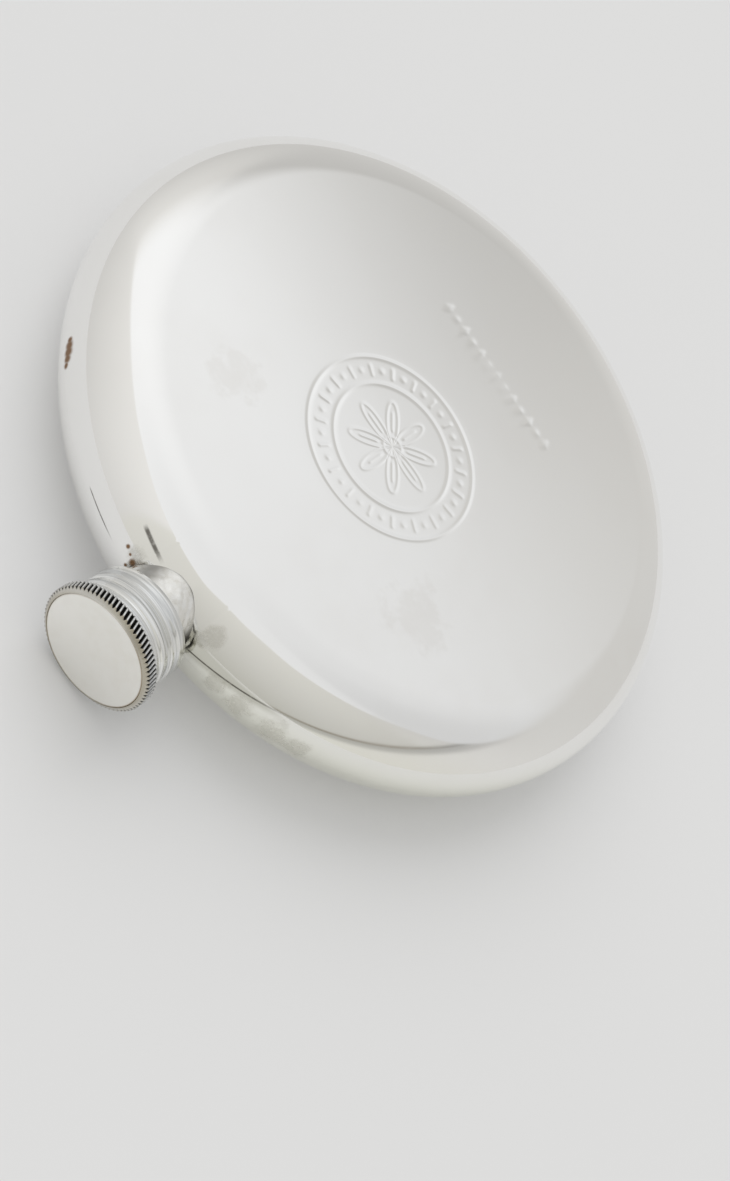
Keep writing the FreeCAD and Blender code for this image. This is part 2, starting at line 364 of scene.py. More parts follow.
def metal(name, look):
    # a metal whose colour, roughness and height change with smudges, hairlines and waves, and where its look asks
    # for them with turning marks, tarnish with painted shade, warm edges, and painted shade with grime
    material = bpy.data.materials.new(name)
    material.use_nodes = True
    tree = material.node_tree
    shader = tree.nodes["Principled BSDF"]
    shader.inputs["Metallic"].default_value = 1.0
    smudge = useGroup(tree, smudges, Scale=look["smudgeScale"]).outputs["Mask"]
    lines = useGroup(tree, hairlines, Scale=look["lineScale"], Density=look["lineDensity"]).outputs["Lines"]
    uneven = useGroup(tree, unevenness, Wave=look["waveScale"], Ripple=look["rippleScale"],
                      Share=look["rippleShare"]).outputs["Height"]
    colour = mix(tree, calc(tree, "MULTIPLY", smudge, look["smudgeColour"]), look["colour"], look["smudged"])
    rough = calc(tree, "ADD", look["roughness"], calc(tree, "MULTIPLY", smudge, look["smudgeRoughness"]))
    rough = calc(tree, "ADD", rough, calc(tree, "MULTIPLY", lines, look["lineRoughness"]))
    if "streak" in look:
        streak = useGroup(tree, turningMarks, Fineness=1.0).outputs["Streak"]
        colour = mix(tree, streak, look["streak"], colour)
        rough = calc(tree, "ADD", rough, calc(tree, "MULTIPLY", streak, look["streakRoughness"]))
        uneven = calc(tree, "ADD", uneven, calc(tree, "MULTIPLY", streak, look["streakHeight"]))
    # tarnish marks, among them a haze of painted shade and a band of painted darker reflection
    if "tarnishAndShade" in look:
        marks = useGroup(tree, tarnishAndShade, Grain=look["tarnishAndShade"]).outputs
        for mark, strength, tint in tarnishAndShadeLook:
            colour = mix(tree, calc(tree, "MULTIPLY", marks[mark], strength), colour, tint)
        # roughness rises on the haze of painted shade, the spots and the lines
        worn = calc(tree, "MAXIMUM", marks["ShadeHaze"], calc(tree, "MAXIMUM", marks["Spot"], marks["Line"]))
        rough = calc(tree, "ADD", rough, calc(tree, "MULTIPLY", worn, look["darkMarkRoughness"]))
    if "warm" in look:
        warm = node(tree, "ShaderNodeAttribute", attribute_name="warm").outputs["Fac"]
        colour = mix(tree, warm, colour, look["warm"])
    # painted shade, with some grime, wherever a piece's attribute asks for it
    if "shadeAndGrime" in look:
        shadeAndGrime = node(tree, "ShaderNodeAttribute", attribute_name="shadeAndGrime").outputs["Fac"]
        colour = mix(tree, shadeAndGrime, colour, look["shadeAndGrime"])
        rough = calc(tree, "ADD", rough, calc(tree, "MULTIPLY", shadeAndGrime, look["shadeAndGrimeRoughness"]))
    put(tree, shader.inputs["Base Color"], colour)
    put(tree, shader.inputs["Roughness"], rough)
    waves = node(tree, "ShaderNodeBump", {"Height": uneven, "Distance": look["waveDepth"] * mm, "Strength": 1.0})
    scratched = node(tree, "ShaderNodeBump", {"Height": lines, "Distance": look["lineDepth"] * mm, "Strength": 1.0,
                                              "Normal": waves.outputs[0]}, invert=True)
    put(tree, shader.inputs["Normal"], scratched.outputs[0])
    return material


polish = {
    "colour": (0.93, 0.925, 0.91, 1), "smudged": (0.86, 0.84, 0.81, 1),
    "roughness": 0.045, "smudgeRoughness": 0.09, "smudgeColour": 0.35, "smudgeScale": 38.0,
    "lineScale": 1.0, "lineDensity": 0.5, "lineRoughness": 0.12, "lineDepth": 0.004,
    "waveScale": 42.0, "waveDepth": 0.03, "rippleScale": 700.0, "rippleShare": 0.015,
    "darkMarkRoughness": 0.3, "shadeAndGrimeRoughness": 0.35, "streakRoughness": -0.08,
}
polishedPewter = metal("polishedPewter", polish | {"tarnishAndShade": 900.0})
polishedPewterBack = metal("polishedPewterBack", polish | {"tarnishAndShade": 900.0, "roughness": 0.06, "lineDensity": 0.8})
# its near-black is painted shade on the neck under the cap, with some tarnish
turnedPewter = metal("turnedPewter", polish | {
    "roughness": 0.16, "waveDepth": 0.008, "streak": (0.70, 0.70, 0.69, 1), "streakHeight": 0.3,
    "shadeAndGrime": (0.02, 0.018, 0.014, 1)})
capPewter = metal("capPewter", polish | {
    "roughness": 0.18, "waveDepth": 0.014, "waveScale": 160.0, "colour": (0.95, 0.95, 0.93, 1),
    "streak": (0.54, 0.55, 0.55, 1), "streakHeight": 0.4,
    "warm": (0.52, 0.48, 0.395, 1), "shadeAndGrime": (0.012, 0.011, 0.01, 1)})
brushedPewter = metal("brushedPewter", polish | {
    "colour": (0.95, 0.94, 0.90, 1), "smudged": (0.80, 0.77, 0.69, 1), "smudgeScale": 150.0, "roughness": 0.30,
    "lineDensity": 0.9, "waveDepth": 0.006, "warm": (0.42, 0.34, 0.25, 1)})
# its near-black is painted shade in the pockets behind the cap's skirt, and tarnish along the foot
solderMetal = metal("solderMetal", polish | {
    "colour": (0.88, 0.875, 0.85, 1), "smudged": (0.6, 0.57, 0.5, 1), "roughness": 0.2, "smudgeScale": 300.0,
    "smudgeColour": 0.9, "waveScale": 260.0, "waveDepth": 0.07, "rippleShare": 0.1, "shadeAndGrime": (0.03, 0.024, 0.016, 1)})


cork = {
    "grainScale": 900.0, "pitScale": 2200.0, "dark": (0.36, 0.22, 0.12, 1), "light": (0.62, 0.43, 0.27, 1),
    "pit": (0.14, 0.08, 0.04, 1), "roughness": 0.75, "pitRoughness": 0.2, "depth": 0.08,
}


def corkMaterial():
    # cork: two browns mixed by a fine noise, with darker, rougher pits
    material = bpy.data.materials.new("sealCork")
    material.use_nodes = True
    tree = material.node_tree
    shader = tree.nodes["Principled BSDF"]
    place = node(tree, "ShaderNodeTexCoord").outputs["Object"]
    grain = noise(tree, place, cork["grainScale"], 4.0, 0.6)
    pits = ramp(tree, noise(tree, place, cork["pitScale"], 2.0), 0.58, 0.7, 0.0, 1.0)
    colour = mix(tree, grain, cork["dark"], cork["light"])
    colour = mix(tree, pits, colour, cork["pit"])
    put(tree, shader.inputs["Base Color"], colour)
    rough = calc(tree, "ADD", cork["roughness"], calc(tree, "MULTIPLY", pits, cork["pitRoughness"]))
    put(tree, shader.inputs["Roughness"], rough)
    height = calc(tree, "SUBTRACT", grain, pits)
    bump = node(tree, "ShaderNodeBump", {"Height": height, "Distance": cork["depth"] * mm})
    put(tree, shader.inputs["Normal"], bump.outputs[0])
    return material


sealCork = corkMaterial()
print("materials made")


# the two halves of the body

body = {
    "wall": 1.2,
    "edgeWidth": 10.5,        # how far in the rounded edge reaches before the face is flat
    "neckHole": 5.97,
    "bandRows": 60, "innerRows": 14,
    "frontColumns": 440, "backColumns": 384,
    "neckBunch": (-math.pi / 2, 0.22, 1.6),   # middle, width and gain of the extra columns at the neck
    "rowBunch": (math.pi / 2, 0.5, 0.7),      # and at the stamped row
}
faceRadius = bodyRadius - body["edgeWidth"]


def outlineAt(turn, inset):
    # a quarter of an ellipse: radius = face + (width - inset) cos t, height = (half thickness - inset) sin t
    radius = faceRadius + (body["edgeWidth"] - inset) * np.cos(turn)
    return radius, (halfThickness - inset) * np.sin(turn)


def startTurn(angle, inset):
    # where each meridian leaves the hole for the neck: the first place with x^2 + height^2 past the hole's radius
    turn = np.linspace(0, math.pi / 2, 4000)
    radius, height = outlineAt(turn, inset)
    sideways = radius[None, :] * np.cos(angle)[:, None]
    inside = (sideways ** 2 + height[None, :] ** 2 < body["neckHole"] ** 2) & (np.sin(angle)[:, None] < 0)
    return turn[np.sum(inside, axis=1)]


def bunchedAngles(count, bunches):
    # angles whose spacing shrinks by (1 + gain) near each bunch's middle: the running sum of 1 + gain * bell
    fine = np.linspace(-math.pi, math.pi, 20001)
    weight = np.ones_like(fine)
    for middle, width, gain in bunches:
        weight += gain * np.exp(-(turnAway(fine, middle) / width) ** 4)
    total = np.concatenate([[0], np.cumsum((weight[1:] + weight[:-1]) / 2)])
    angle = np.interp(np.arange(count) / count * total[-1], total, fine)
    for side in (-1, 1):  # one meridian meets each side of the neck's hole exactly
        hole = -math.pi / 2 + side * math.asin(body["neckHole"] / bodyRadius)
        angle[np.argmin(np.abs(angle - hole))] = hole
    return angle


def shellPoints(angle, faceRings, lift):
    # outside: band rows from the widest line (or the hole) to the flat face, then face rings;
    # inside: the same outline moved in by the wall, back to the start and closed by one point in the middle.
    # lift gives the face rings' centres and heights
    edge = np.array([0, 0.0012])  # a second row close to the joint keeps the shading clean up to it
    rows = []
    for inset, steps in ((0, body["bandRows"]), (body["wall"], body["innerRows"])):
        share = np.concatenate([edge, np.linspace(0, 1, steps + 1)[1:]])[:, None]
        start = startTurn(angle, inset)
        radius, height = outlineAt(start + share * (math.pi / 2 - start), inset)
        rows.append(np.stack([radius * np.cos(angle), radius * np.sin(angle), height], -1))
    band, lining = rows
    lip = lining[0] + np.array([0.02, 0.98])[:, None, None] * (band[0] - lining[0])
    face = lift(faceRings[:, None], angle)
    middle = np.array([0, 0, halfThickness - body["wall"]]) * np.ones((1, len(angle), 1))
    return np.concatenate([middle, lining[::-1], lip, band, face])


emblem = {
    "offset": 7.5,            # towards the neck from the middle of the face
    "rings": (14.3, 10.0),
    "ringWidth": 0.32, "ringDepth": 0.06,
    "beads": 40, "beadRadius": 12.15, "beadDepth": 0.045,
    "dotWidth": 0.42, "dashWidth": 0.26, "dashEnd": (0.75, 1.15),
    "petals": 8, "petalDepth": 0.036, "petalMiddle": 4.9, "petalSwing": 2.5, "petalLine": 0.24,
    "veinStart": (2.3, 2.9), "veinEnd": (5.4, 6.0), "veinWidth": 0.22, "heartRadius": 1.55,
    "rowPlace": 20.0, "rowCount": 13, "rowReach": 12.6, "rowDepth": 0.05,
    "lozenge": (0.75, 1.5), "spotWidth": 0.55,
    "worn": 0.45,             # most that polishing has taken away
    "centred": 20.0,          # face rings within this are centred on the rosette
}


def groove(away, width):
    # smooth valley exp(-(away / width)^2): 1 in the middle, nearly 0 at twice the width
    return np.exp(-(away / width) ** 2)


def emblemDepth(x, y):
    # depth of the engraving: two rings, alternate beads and dashes between them, a rosette of petals r = a + b cos(nt)
    # with a vein in each, and a row of alternate dots and lozenges beyond
    up = y + emblem["offset"]
    radius = np.hypot(x, up)
    angle = np.arctan2(up, x)
    depth = np.zeros_like(x)
    for ring in emblem["rings"]:
        depth = np.maximum(depth, emblem["ringDepth"] * groove(radius - ring, emblem["ringWidth"]))
    count = emblem["beads"]
    nearest = np.round(angle / (2 * math.pi) * count)
    across = emblem["beadRadius"] * (angle - nearest * 2 * math.pi / count)
    outward = radius - emblem["beadRadius"]
    dot = groove(np.hypot(across, outward), emblem["dotWidth"])
    dash = groove(across, emblem["dashWidth"]) * (1 - blend(np.abs(outward), *emblem["dashEnd"]))
    depth = np.maximum(depth, emblem["beadDepth"] * np.where(nearest % 2 == 0, dot, dash))
    wave = np.cos(emblem["petals"] * angle)
    petal = emblem["petalMiddle"] + emblem["petalSwing"] * wave
    slant = emblem["petalSwing"] * emblem["petals"] * np.sin(emblem["petals"] * angle) / np.maximum(radius, 1)
    outline = groove((radius - petal) / np.hypot(1, slant), emblem["petalLine"])
    step = 2 * math.pi / emblem["petals"]
    fromVein = radius * np.sin(angle - np.round(angle / step) * step)
    vein = groove(fromVein, emblem["veinWidth"]) * blend(radius, *emblem["veinStart"]) * (
        1 - blend(radius, *emblem["veinEnd"]))
    heart = groove(radius - emblem["heartRadius"], emblem["veinWidth"])
    depth = np.maximum(depth, emblem["petalDepth"] * np.maximum(np.maximum(outline, vein), heart))
    pitch = 2 * emblem["rowReach"] / (emblem["rowCount"] - 1)
    slot = np.clip(np.round(x / pitch), -(emblem["rowCount"] // 2), emblem["rowCount"] // 2)
    sideways = x - slot * pitch
    beyond = y - emblem["rowPlace"]
    wide, tall = emblem["lozenge"]
    lozenge = 1 - blend(np.abs(sideways) / wide + np.abs(beyond) / tall, 0.5, 1.1)
    spot = groove(np.hypot(sideways, beyond), emblem["spotWidth"])
    depth = np.maximum(depth, emblem["rowDepth"] * np.where(slot % 2 == 0, lozenge, spot))
    # years of polishing have worn it unevenly: slow waves sin(ax + by) take part of the depth away
    wear = 0.5 + 0.25 * np.sin(0.42 * x + 0.31 * y + 1.0) + 0.25 * np.sin(-0.23 * x + 0.55 * y + 2.2)
    return depth * (1 - emblem["worn"] * wear)


def frontLift(ring, angle):
    # ring centres move from the body's axis at the face's edge to the emblem's middle
    shift = -emblem["offset"] * (1 - blend(ring, emblem["centred"], faceRadius - 1))
    x = ring * np.cos(angle)
    y = ring * np.sin(angle) + shift
    return np.stack([x, y, halfThickness - emblemDepth(x, y)], -1)


def frontHalf():
    # the quarter-ellipse edge and a flat face whose rings are closest together over the stamped lines
    angle = bunchedAngles(body["frontColumns"], [body["rowBunch"], body["neckBunch"]])
    rings = spread([(faceRadius - 0.25, 0.9), (31.0, 0.22), (26.2, 1.0), (15.0, 0.11), (13.8, 0.22), (10.4, 0.11),
                    (9.6, 0.21), (0.4, 0.2), (0.0, 0.2)])
    points = shellPoints(angle, rings, frontLift)
    points[..., 2] += axisHeight
    return gridPiece("front_half", points, polishedPewter, poles=(True, True))


def backHalf():
    # the same outline with a plain face, turned over: height = axis - height
    angle = bunchedAngles(body["backColumns"], [body["neckBunch"]])
    rings = spread([(faceRadius - 0.25, 2.0), (2.0, 1.0), (0.0, 1.0)])

    def lift(ring, angle):
        return np.stack([ring * np.cos(angle), ring * np.sin(angle), halfThickness + 0 * ring * angle], -1)

    points = shellPoints(angle, rings, lift)
    points[..., 2] = axisHeight - points[..., 2]
    return gridPiece("back_half", points, polishedPewterBack, poles=(True, True))


front = frontHalf()
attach(front, "flask")
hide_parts("front_shell")
back = backHalf()
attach(back, "flask")
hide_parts("back_shell")
print("body halves made", len(front.data.polygons), len(back.data.polygons))


# neck with its thread

neck = {
    "bore": 4.3, "collar": 5.95, "collarEnd": 53.7, "chamfer": 0.35,
    "threadCore": 5.35, "threadCrest": 5.9, "pitch": 2.0,
    "crestWidth": 0.5, "rootWidth": 1.0,
    "threadStart": 54.4, "threadEnd": 60.2, "columns": 256,
    # the neck is painted near black here, as shade in the gap under the cap's skirt, with some tarnish
    "shadeAndGrimeStart": (53.3, 53.5), "shadeAndGrimeEnd": (54.3, 54.9), "shadeAndGrime": 0.9,
}


def ridgeHeight(along, angle):
    # trapezoid thread, 0 at the root and 1 on the crest, round a + pitch * angle / 2 pi; it dies away at both ends
    turn = (along - neck["threadStart"]) / neck["pitch"] - angle / (2 * math.pi)
    away = np.abs(turn - np.round(turn)) * neck["pitch"]
    flank = np.clip((neck["rootWidth"] / 2 - away) / ((neck["rootWidth"] - neck["crestWidth"]) / 2), 0, 1)
    ends = blend(along, neck["threadStart"], neck["threadStart"] + 0.6)
    return flank * ends * (1 - blend(along, neck["threadEnd"] - 0.6, neck["threadEnd"]))


def neckTube():
    # rows of (along, radius) from the inner end, over the collar and the thread, round the mouth and back down the
    # bore; the thread adds its ridge to the core's radius
    angle = np.linspace(0, 2 * math.pi, neck["columns"], endpoint=False)
    along = [np.full(3, neckInnerEnd), spread([(neckInnerEnd, 1.0), (neck["collarEnd"], 0.4)]),
             np.full(3, neck["collarEnd"]) + (0, 0.02, 0.05)]
    radius = [np.array([neck["bore"], 5.3, neck["collar"] - 0.02]), np.full(len(along[1]), neck["collar"]),
              np.array([neck["collar"] - 0.03, neck["collar"] - 0.1, neck["threadCore"] + 0.03])]
    thread = spread([(neck["collarEnd"] + 0.1, 0.11), (neckMouth - neck["chamfer"], 0.1)])
    along.append(thread)
    radius.append(np.full(len(thread), neck["threadCore"]))
    along.append(np.array([neckMouth - 0.05, neckMouth, neckMouth, neckMouth - 0.05]))
    radius.append(np.array([neck["threadCore"] - neck["chamfer"] + 0.03, neck["threadCore"] - neck["chamfer"] - 0.03,
                            neck["bore"] + neck["chamfer"] + 0.03, neck["bore"] + neck["chamfer"] - 0.05]))
    bore = spread([(neckMouth - neck["chamfer"], 0.8), (neckInnerEnd + 0.2, 0.2)])
    along.append(bore)
    radius.append(np.full(len(bore), neck["bore"]))
    along = np.concatenate(along)[:, None]
    radius = np.concatenate(radius)[:, None]
    ridge = ridgeHeight(along, angle) * (neck["threadCrest"] - neck["threadCore"])
    outer = radius >= neck["threadCore"] - 1e-6
    past = along >= neck["threadStart"]
    radius = radius + np.where(outer & past, ridge, 0)
    # painted shade in the gap between the solder and the cap, with some tarnish
    shadeAndGrime = neck["shadeAndGrime"] * outer * blend(along, *neck["shadeAndGrimeStart"]) * (1 - blend(along, *neck["shadeAndGrimeEnd"]))
    return gridPiece("neck_tube", aroundNeck(along, radius, angle), turnedPewter, loop=True,
                     marks={"shadeAndGrime": shadeAndGrime + 0 * angle})


tube = neckTube()
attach(tube, "flask")
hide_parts("neck")


# solder round the root of the neck

fillet = {
    "inner": 5.96, "foot": 6.03, "sideFoot": 0.4, "sideAngle": 2.4, "end": 53.58, "lump": 0.09,
    "rows": 30, "columns": 360,
    # the pockets are painted shade, the dark gap behind the cap's skirt
    "pocket": 0.24, "pocketWidth": 0.5,                        # angle and half width of the blackened pocket
    "smallPocket": 2.35, "smallWidth": 0.28, "smallPocketShade": 0.55,
}


def bodySurface(sideways, upward):
    # how far out along the neck's direction the body's skin lies, at a place beside and above the neck's axis
    radius, height = outlineAt(np.linspace(0, math.pi / 2, 3000), 0)
    return np.sqrt(np.interp(upward, height, radius) ** 2 - sideways ** 2)


def neckFillet():
    # a hollow fillet hugging the body: radius = inner + (foot - inner)(1 - s)^2, along = foot line + rise s,
    # s from 0 to 1, with lumps sum a sin(n angle + m s + p) that die away at both ends
    angle = np.linspace(0, 2 * math.pi, fillet["columns"], endpoint=False)
    wave = 0.6 * np.sin(5 * angle + 0.7) + 0.45 * np.sin(9 * angle + 2.1) + 0.35 * np.sin(16 * angle + 4.0)
    side = np.maximum(0, np.cos(angle - fillet["sideAngle"])) ** 2
    outer = fillet["foot"] + fillet["sideFoot"] * side + 0.05 * (wave + 1.2) / 2
    foot = bodySurface(outer * np.cos(angle), np.abs(outer * np.sin(angle)))
    share = np.linspace(0, 1, fillet["rows"])[:, None]
    bulge = np.sin(math.pi * np.clip(share * 1.05, 0, 1))
    lump = (np.sin(7 * angle + 6 * share + 0.4) + 0.7 * np.sin(12 * angle - 9 * share + 2.0)
            + 0.5 * np.sin(21 * angle + 15 * share)) * bulge
    radius = fillet["inner"] + (outer - fillet["inner"]) * (1 - share) ** 2 + fillet["lump"] * (lump + 1.6) / 2 * (
        bulge ** 0.5)
    along = foot - 0.05 + (fillet["end"] - foot + 0.05) * share
    under = np.stack([foot - 1.3, foot - 1.3])
    underRadius = np.stack([fillet["inner"] + 0 * outer, outer - 0.05])
    along = np.concatenate([under, along, np.full((1, len(angle)), fillet["end"])])
    radius = np.concatenate([underRadius, radius, np.full((1, len(angle)), fillet["inner"] - 0.03)])
    # tarnish along the foot, and painted shade in two pockets behind the cap's skirt
    pocket = np.exp(-(turnAway(angle, fillet["pocket"]) / fillet["pocketWidth"]) ** 4) + fillet["smallPocketShade"] * np.exp(
        -(turnAway(angle, fillet["smallPocket"]) / fillet["smallWidth"]) ** 2)
    footLine = (1 - blend(share, 0.0, 0.10)) * (0.5 + 0.3 * wave / 1.4)
    shadeAndGrime = np.concatenate([np.zeros_like(under), np.maximum(footLine, pocket), pocket[None, :]])
    return gridPiece("neck_fillet", aroundNeck(along, radius, angle), solderMetal, loop=True,
                     marks={"shadeAndGrime": np.clip(shadeAndGrime, 0, 1)})


ring = neckFillet()
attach(ring, "flask")
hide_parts("neck_solder")
print("neck made")


# cap

cap = {
    "bore": 6.9, "roof": 61.7, "skirt": 7.9, "lip": 0.3,
    "stepRadius": 8.15, "stepStart": 60.85,
    "knurl": 8.88, "knurlDepth": 0.42, "knurlStart": 61.15, "knurlEnd": 62.5,
    "teeth": 80, "perTooth": 9, "slotShare": 0.80,
    "lean": 0.34,             # sideways run of a slot for each mm along, in mm
    "rim": 0.08, "round": 0.06, "drop": 0.04,
    # raised beads on the skirt: place along the axis, half width, height
    "beads": ((60.2, 0.42, 0.24), (58.75, 0.45, 0.22), (57.6, 0.13, 0.16), (57.1, 0.13, 0.16), (55.5, 0.80, 0.22)),
    "skirtSink": 0.2, "skirtRows": 90,
}


def capOutline():
    # (along, radius) from the middle of the front recess, over the rim, the knurled band and the skirt, and back
    # through the bore to the middle of the roof
    recess = discRadius + 0.02
    front = [(discRear, 0.0), (discRear, 4.0), (discRear, recess - 0.03), (discRear + 0.03, recess)]
    bevelTop = capFront - cap["drop"]
    rim = [(capFront - cap["round"], recess), (capFront, recess + cap["round"]),
           (capFront, recess + cap["rim"] - cap["round"]), (bevelTop, recess + cap["rim"])]
    along = np.array([p[0] for p in front + rim])
    radius = np.array([p[1] for p in front + rim])
    bevelShare = np.linspace(0, 1, 6)[1:]
    bevelAlong = bevelTop - bevelShare * (bevelTop - cap["knurlEnd"])
    bevelRadius = recess + cap["rim"] + bevelShare * (cap["knurl"] - recess - cap["rim"])
    bandAlong = np.linspace(cap["knurlEnd"], cap["knurlStart"], 14)[1:]
    stepAlong = np.linspace(cap["knurlStart"], cap["stepStart"], 8)[1:]
    fall = np.linspace(0, math.pi / 2, 8)[1:]
    stepRadius = cap["stepRadius"] + (cap["knurl"] - cap["stepRadius"]) * (1 - np.sin(fall))
    skirtAlong = np.linspace(cap["stepStart"], capRear + cap["lip"], cap["skirtRows"])[1:]
    skirtRadius = skirtShape(skirtAlong)
    turn = np.linspace(0, math.pi / 2, 6)[1:]
    lipAlong = capRear + cap["lip"] * (1 - np.sin(turn))
    lipRadius = skirtShape(np.array([capRear + cap["lip"]])) - cap["lip"] * (1 - np.cos(turn))
    bore, roof = cap["bore"], cap["roof"]
    boreAlong = np.array([capRear, capRear + 0.05, capRear + 3, roof - 0.03, roof, roof, roof])
    boreRadius = np.array([bore + 0.05, bore, bore, bore, bore - 0.03, 3.0, 0.0])
    along = np.concatenate([along, bevelAlong, bandAlong, stepAlong, skirtAlong, lipAlong, boreAlong])
    radius = np.concatenate([radius, bevelRadius, np.full(len(bandAlong), cap["knurl"]), stepRadius, skirtRadius,
                             lipRadius, boreRadius])
    return along, radius


def skirtShape(along):
    # the skirt's radius: a plain tube with raised beads, each a bell height * exp(-(away / width)^4) along the axis
    radius = np.full(len(along), cap["skirt"] - cap["skirtSink"])
    for middle, width, height in cap["beads"]:
        radius += height * np.exp(-((along - middle) / width) ** 4)
    return radius


def capBody():
    # the outline turned about the neck's axis, with slanting V slots cut into the knurled band
    along, radius = capOutline()
    count = cap["teeth"] * cap["perTooth"]
    angle = np.linspace(0, 2 * math.pi, count, endpoint=False)
    along = along[:, None]
    radius = radius[:, None] + 0 * angle
    # a slot's place round the axis leans with the distance along it: teeth * (angle + lean * rise / radius) / 2 pi
    lean = cap["lean"] * (along - cap["knurlStart"]) / (2 * math.pi * cap["knurl"])
    turn = cap["teeth"] * (angle / (2 * math.pi) + lean)
    away = np.abs(turn - np.round(turn)) * 2
    cut = np.clip(1 - away / cap["slotShare"], 0, 1) * cap["knurlDepth"]
    inBand = (along <= capFront - 0.05) & (along >= cap["stepStart"]) & (radius > cap["stepRadius"])
    cutRadius = np.where(inBand, np.minimum(radius, cap["knurl"] - cut), radius)
    # darker towards the bottom of each slot
    shadeAndGrime = np.where(inBand, blend(radius - cutRadius, 0.03, 0.16), 0)
    onBevel = (along > cap["knurlEnd"] - 0.01) & (radius > discRadius - 0.1)
    warm = np.where(onBevel, 0.75 + 0.25 * np.sin(2 * angle + 5 * along), 0)
    return gridPiece("cap_body", aroundNeck(along, cutRadius, angle), capPewter, poles=(True, True),
                     marks={"shadeAndGrime": shadeAndGrime, "warm": warm})


coverDisc = {
    "columns": 192, "round": 0.1, "sink": 0.03,
    "darkEdgeSide": 0.65, "darkEdgeAll": 0.35, "darkEdgeAngle": 0.5,   # the dark line is strongest at one side
}


def capDisc():
    # flat disc whose front edge is a quarter circle: radius = R - r + r sin e, along = front - r (1 - cos e)
    angle = np.linspace(0, 2 * math.pi, coverDisc["columns"], endpoint=False)
    edge = np.linspace(0, math.pi / 2, 6)[1:]
    soft = coverDisc["round"]
    top = capFront - coverDisc["sink"]
    flat = spread([(0.0, 0.5), (discRadius - 0.6, 0.1), (discRadius - soft, 0.1)])
    along = np.concatenate([np.full(len(flat), top), top - soft * (1 - np.cos(edge)),
                            [discRear + 0.05, discRear, discRear, discRear]])
    radius = np.concatenate([flat, discRadius - soft + soft * np.sin(edge),
                             [discRadius, discRadius - 0.05, 4.0, 0.0]])
    side = coverDisc["darkEdgeSide"] * np.clip(np.cos(angle - coverDisc["darkEdgeAngle"]), 0, 1)
    warm = blend(radius, discRadius - 0.22, discRadius - 0.05)[:, None] * (coverDisc["darkEdgeAll"] + side)
    return gridPiece("cap_disc", aroundNeck(along[:, None], radius[:, None] + 0 * angle, angle), brushedPewter,
                     poles=(True, True), marks={"warm": warm})


capPiece = capBody()
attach(capPiece, "cap")
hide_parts("cap_shell")
disc = capDisc()
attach(disc, "cap")
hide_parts("cap_top_disc")
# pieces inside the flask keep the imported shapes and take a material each
for name, material in (("seam_solder", solderMetal), ("cap_thread_sleeve", turnedPewter), ("cap_seal", sealCork)):
    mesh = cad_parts[name].data
    mesh.materials.clear()
    mesh.materials.append(material)
print("cap made", len(capPiece.data.polygons))


# floor, light and camera

floorLook = {
    "size": 6000.0, "colour": (0.585, 0.585, 0.59, 1), "mottle": 0.006, "cloudScale": 14.0,
    "roughness": 0.9, "specular": 0.1, "glow": 0.16, "glowColour": (1, 1, 0.985, 1),
}


def makeFloor():
    # one large pale sheet
    reach = floorLook["size"] / 2 * mm
    corners = [(-reach, -reach, 0), (reach, -reach, 0), (reach, reach, 0), (-reach, reach, 0)]
    mesh = bpy.data.meshes.new("floor")
    mesh.from_pydata(corners, [], [(0, 1, 2, 3)])
    material = bpy.data.materials.new("paleSheet")
    material.use_nodes = True
    tree = material.node_tree
    shader = tree.nodes["Principled BSDF"]
    place = node(tree, "ShaderNodeTexCoord").outputs["Object"]
    cloud = noise(tree, place, floorLook["cloudScale"], 3.0)
    darker = tuple(c * (1 - floorLook["mottle"] * 2) for c in floorLook["colour"][:3]) + (1,)
    put(tree, shader.inputs["Base Color"], mix(tree, cloud, floorLook["colour"], darker))
    shader.inputs["Roughness"].default_value = floorLook["roughness"]
    shader.inputs["Specular IOR Level"].default_value = floorLook["specular"]
    shader.inputs["Emission Color"].default_value = floorLook["glowColour"]
    shader.inputs["Emission Strength"].default_value = floorLook["glow"]  # a sheet lit a little from beneath
    mesh.materials.append(material)
    floor = bpy.data.objects.new("floor", mesh)
    bpy.context.scene.collection.objects.link(floor)
    return floor


makeFloor()


